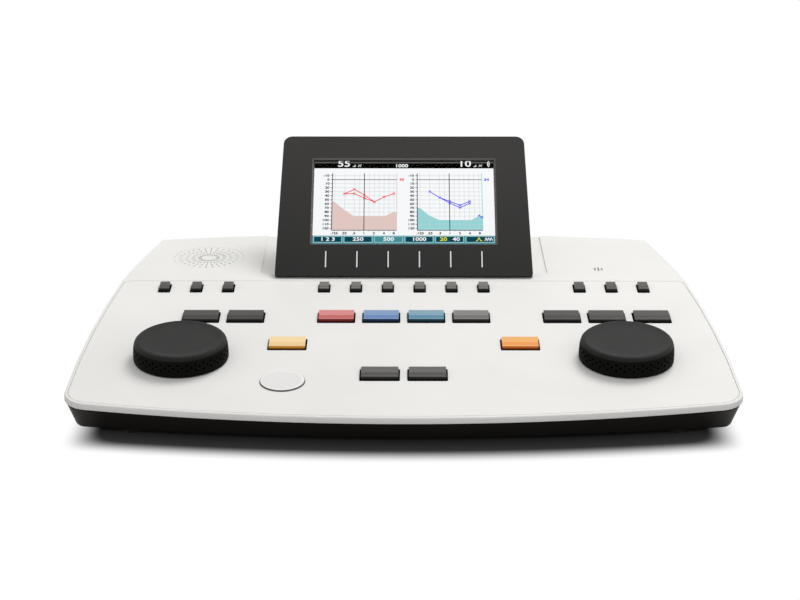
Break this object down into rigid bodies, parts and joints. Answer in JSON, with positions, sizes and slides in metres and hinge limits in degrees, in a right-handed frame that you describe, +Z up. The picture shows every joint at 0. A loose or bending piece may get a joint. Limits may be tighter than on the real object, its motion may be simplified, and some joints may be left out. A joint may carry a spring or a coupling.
{
  "type": "desktop audiometer",
  "caption": "Desktop hearing tester: a low wedge-shaped case with push keys, rotary knobs and a display that folds back onto the rear deck.",
  "frame": {"origin": "centre of the bounding box's base, on the table that the feet stand on", "axes": "+X to the operator's right, +Y away from the operator, +Z up"},
  "size_m": [0.365, 0.2924, 0.1118],
  "materials": {
    "white_shell": "fine-grained matt moulded plastic, slightly warm white",
    "white_inlay": "smooth matt white film",
    "black_shell": "satin black moulded plastic",
    "black_frame": "matt black moulded plastic",
    "dark_bezel": "matt dark grey moulded plastic",
    "window": "clear acrylic",
    "screen": "liquid-crystal screen",
    "circuit_board": "green solder mask",
    "switch_plastic": "matt black engineering plastic",
    "speaker_basket": "pressed steel and paper cone",
    "zinc": "die-cast, dull",
    "plated_steel": "bright plated",
    "foot_rubber": "matt rubber",
    "knob_rubber": "matt soft-touch rubber",
    "small_key": "satin grey translucent plastic over black",
    "dark_key": "satin grey translucent plastic over black",
    "red_key": "satin red translucent plastic",
    "blue_key": "satin blue translucent plastic",
    "teal_key": "satin teal translucent plastic",
    "grey_key": "satin grey translucent plastic",
    "yellow_key": "satin yellow translucent plastic",
    "orange_key": "satin orange translucent plastic",
    "tone_switch": "finely grained pale plastic"
  },
  "bodies": {
    "case": {"bottom_case": "black_shell", "top_case": "white_shell", "control_panel": "white_inlay", "key_frame": "black_frame", "speaker_grille": "white_shell", "loudspeaker": "speaker_basket", "main_board": "circuit_board", "key_board": "circuit_board", "key_switches": "switch_plastic", "encoder_bodies": "zinc", "talk_microphone": "zinc", "rear_panel": "black_frame", "jack_sockets": "switch_plastic", "usb_socket": "plated_steel", "power_inlet": "switch_plastic", "power_switch_body": "switch_plastic", "rubber_feet": "foot_rubber", "case_screws": "plated_steel", "hinge_brackets": "plated_steel"},
    "display": {"display_bezel": "dark_bezel", "display_rear_cover": "white_shell", "lcd_panel": "screen", "display_window": "window", "display_board": "circuit_board", "hinge_pins": "plated_steel", "display_screws": "plated_steel"},
    "left_knob": {"left_knob_grip": "knob_rubber", "left_knob_core": "black_frame", "left_encoder_shaft": "plated_steel"},
    "right_knob": {"right_knob_grip": "knob_rubber", "right_knob_core": "black_frame", "right_encoder_shaft": "plated_steel"},
    "soft_key_1": {"soft_key_1": "small_key"},
    "soft_key_2": {"soft_key_2": "small_key"},
    "soft_key_3": {"soft_key_3": "small_key"},
    "soft_key_4": {"soft_key_4": "small_key"},
    "soft_key_5": {"soft_key_5": "small_key"},
    "soft_key_6": {"soft_key_6": "small_key"},
    "left_small_key_1": {"left_small_key_1": "small_key"},
    "left_small_key_2": {"left_small_key_2": "small_key"},
    "left_small_key_3": {"left_small_key_3": "small_key"},
    "right_small_key_1": {"right_small_key_1": "small_key"},
    "right_small_key_2": {"right_small_key_2": "small_key"},
    "right_small_key_3": {"right_small_key_3": "small_key"},
    "left_wide_key_1": {"left_wide_key_1": "dark_key"},
    "left_wide_key_2": {"left_wide_key_2": "dark_key"},
    "right_wide_key_1": {"right_wide_key_1": "dark_key"},
    "right_wide_key_2": {"right_wide_key_2": "dark_key"},
    "right_wide_key_3": {"right_wide_key_3": "dark_key"},
    "red_key": {"red_key": "red_key"},
    "blue_key": {"blue_key": "blue_key"},
    "teal_key": {"teal_key": "teal_key"},
    "grey_key": {"grey_key": "grey_key"},
    "yellow_key": {"yellow_key": "yellow_key"},
    "orange_key": {"orange_key": "orange_key"},
    "down_key": {"down_key": "dark_key"},
    "up_key": {"up_key": "dark_key"},
    "tone_switch": {"tone_switch": "tone_switch"},
    "power_rocker": {"power_rocker": "switch_plastic"}
  },
  "joints": [
    {"name": "display_tilt", "type": "hinge", "parent": "case", "child": "display", "pos_m": [0, 0.05162, 0.0377], "axis": [1, 0, 0], "range_deg": [-39.2, 0]},
    {"name": "left_knob_spin", "type": "hinge", "parent": "case", "child": "left_knob", "pos_m": [-0.124, -0.07514, 0.02599], "axis": [0, -0.1253, 0.9921], "continuous": true},
    {"name": "right_knob_spin", "type": "hinge", "parent": "case", "child": "right_knob", "pos_m": [0.124, -0.07514, 0.02599], "axis": [0, -0.1253, 0.9921], "continuous": true},
    {"name": "soft_key_1_press", "type": "slide", "parent": "case", "child": "soft_key_1", "axis": [0, 0.1253, -0.9921], "range_m": [0, 0.001], "stiffness_N_per_m": 800, "springref_m": -0.0005},
    {"name": "soft_key_2_press", "type": "slide", "parent": "case", "child": "soft_key_2", "axis": [0, 0.1253, -0.9921], "range_m": [0, 0.001], "stiffness_N_per_m": 800, "springref_m": -0.0005},
    {"name": "soft_key_3_press", "type": "slide", "parent": "case", "child": "soft_key_3", "axis": [0, 0.1253, -0.9921], "range_m": [0, 0.001], "stiffness_N_per_m": 800, "springref_m": -0.0005},
    {"name": "soft_key_4_press", "type": "slide", "parent": "case", "child": "soft_key_4", "axis": [0, 0.1253, -0.9921], "range_m": [0, 0.001], "stiffness_N_per_m": 800, "springref_m": -0.0005},
    {"name": "soft_key_5_press", "type": "slide", "parent": "case", "child": "soft_key_5", "axis": [0, 0.1253, -0.9921], "range_m": [0, 0.001], "stiffness_N_per_m": 800, "springref_m": -0.0005},
    {"name": "soft_key_6_press", "type": "slide", "parent": "case", "child": "soft_key_6", "axis": [0, 0.1253, -0.9921], "range_m": [0, 0.001], "stiffness_N_per_m": 800, "springref_m": -0.0005},
    {"name": "left_small_key_1_press", "type": "slide", "parent": "case", "child": "left_small_key_1", "axis": [0, 0.1253, -0.9921], "range_m": [0, 0.001], "stiffness_N_per_m": 800, "springref_m": -0.0005},
    {"name": "left_small_key_2_press", "type": "slide", "parent": "case", "child": "left_small_key_2", "axis": [0, 0.1253, -0.9921], "range_m": [0, 0.001], "stiffness_N_per_m": 800, "springref_m": -0.0005},
    {"name": "left_small_key_3_press", "type": "slide", "parent": "case", "child": "left_small_key_3", "axis": [0, 0.1253, -0.9921], "range_m": [0, 0.001], "stiffness_N_per_m": 800, "springref_m": -0.0005},
    {"name": "right_small_key_1_press", "type": "slide", "parent": "case", "child": "right_small_key_1", "axis": [0, 0.1253, -0.9921], "range_m": [0, 0.001], "stiffness_N_per_m": 800, "springref_m": -0.0005},
    {"name": "right_small_key_2_press", "type": "slide", "parent": "case", "child": "right_small_key_2", "axis": [0, 0.1253, -0.9921], "range_m": [0, 0.001], "stiffness_N_per_m": 800, "springref_m": -0.0005},
    {"name": "right_small_key_3_press", "type": "slide", "parent": "case", "child": "right_small_key_3", "axis": [0, 0.1253, -0.9921], "range_m": [0, 0.001], "stiffness_N_per_m": 800, "springref_m": -0.0005},
    {"name": "left_wide_key_1_press", "type": "slide", "parent": "case", "child": "left_wide_key_1", "axis": [0, 0.1253, -0.9921], "range_m": [0, 0.001], "stiffness_N_per_m": 800, "springref_m": -0.0005},
    {"name": "left_wide_key_2_press", "type": "slide", "parent": "case", "child": "left_wide_key_2", "axis": [0, 0.1253, -0.9921], "range_m": [0, 0.001], "stiffness_N_per_m": 800, "springref_m": -0.0005},
    {"name": "right_wide_key_1_press", "type": "slide", "parent": "case", "child": "right_wide_key_1", "axis": [0, 0.1253, -0.9921], "range_m": [0, 0.001], "stiffness_N_per_m": 800, "springref_m": -0.0005},
    {"name": "right_wide_key_2_press", "type": "slide", "parent": "case", "child": "right_wide_key_2", "axis": [0, 0.1253, -0.9921], "range_m": [0, 0.001], "stiffness_N_per_m": 800, "springref_m": -0.0005},
    {"name": "right_wide_key_3_press", "type": "slide", "parent": "case", "child": "right_wide_key_3", "axis": [0, 0.1253, -0.9921], "range_m": [0, 0.001], "stiffness_N_per_m": 800, "springref_m": -0.0005},
    {"name": "red_key_press", "type": "slide", "parent": "case", "child": "red_key", "axis": [0, 0.1253, -0.9921], "range_m": [0, 0.001], "stiffness_N_per_m": 800, "springref_m": -0.0005},
    {"name": "blue_key_press", "type": "slide", "parent": "case", "child": "blue_key", "axis": [0, 0.1253, -0.9921], "range_m": [0, 0.001], "stiffness_N_per_m": 800, "springref_m": -0.0005},
    {"name": "teal_key_press", "type": "slide", "parent": "case", "child": "teal_key", "axis": [0, 0.1253, -0.9921], "range_m": [0, 0.001], "stiffness_N_per_m": 800, "springref_m": -0.0005},
    {"name": "grey_key_press", "type": "slide", "parent": "case", "child": "grey_key", "axis": [0, 0.1253, -0.9921], "range_m": [0, 0.001], "stiffness_N_per_m": 800, "springref_m": -0.0005},
    {"name": "yellow_key_press", "type": "slide", "parent": "case", "child": "yellow_key", "axis": [0, 0.1253, -0.9921], "range_m": [0, 0.001], "stiffness_N_per_m": 800, "springref_m": -0.0005},
    {"name": "orange_key_press", "type": "slide", "parent": "case", "child": "orange_key", "axis": [0, 0.1253, -0.9921], "range_m": [0, 0.001], "stiffness_N_per_m": 800, "springref_m": -0.0005},
    {"name": "down_key_press", "type": "slide", "parent": "case", "child": "down_key", "axis": [0, 0.1253, -0.9921], "range_m": [0, 0.001], "stiffness_N_per_m": 800, "springref_m": -0.0005},
    {"name": "up_key_press", "type": "slide", "parent": "case", "child": "up_key", "axis": [0, 0.1253, -0.9921], "range_m": [0, 0.001], "stiffness_N_per_m": 800, "springref_m": -0.0005},
    {"name": "tone_switch_press", "type": "slide", "parent": "case", "child": "tone_switch", "axis": [0, 0.1253, -0.9921], "range_m": [0, 0.0008], "stiffness_N_per_m": 800, "springref_m": -0.0005},
    {"name": "power_rocker_tilt", "type": "hinge", "parent": "case", "child": "power_rocker", "pos_m": [0.083, 0.13235, 0.0132], "axis": [0, 0, 1], "range_deg": [-16, 0]}
  ]
}
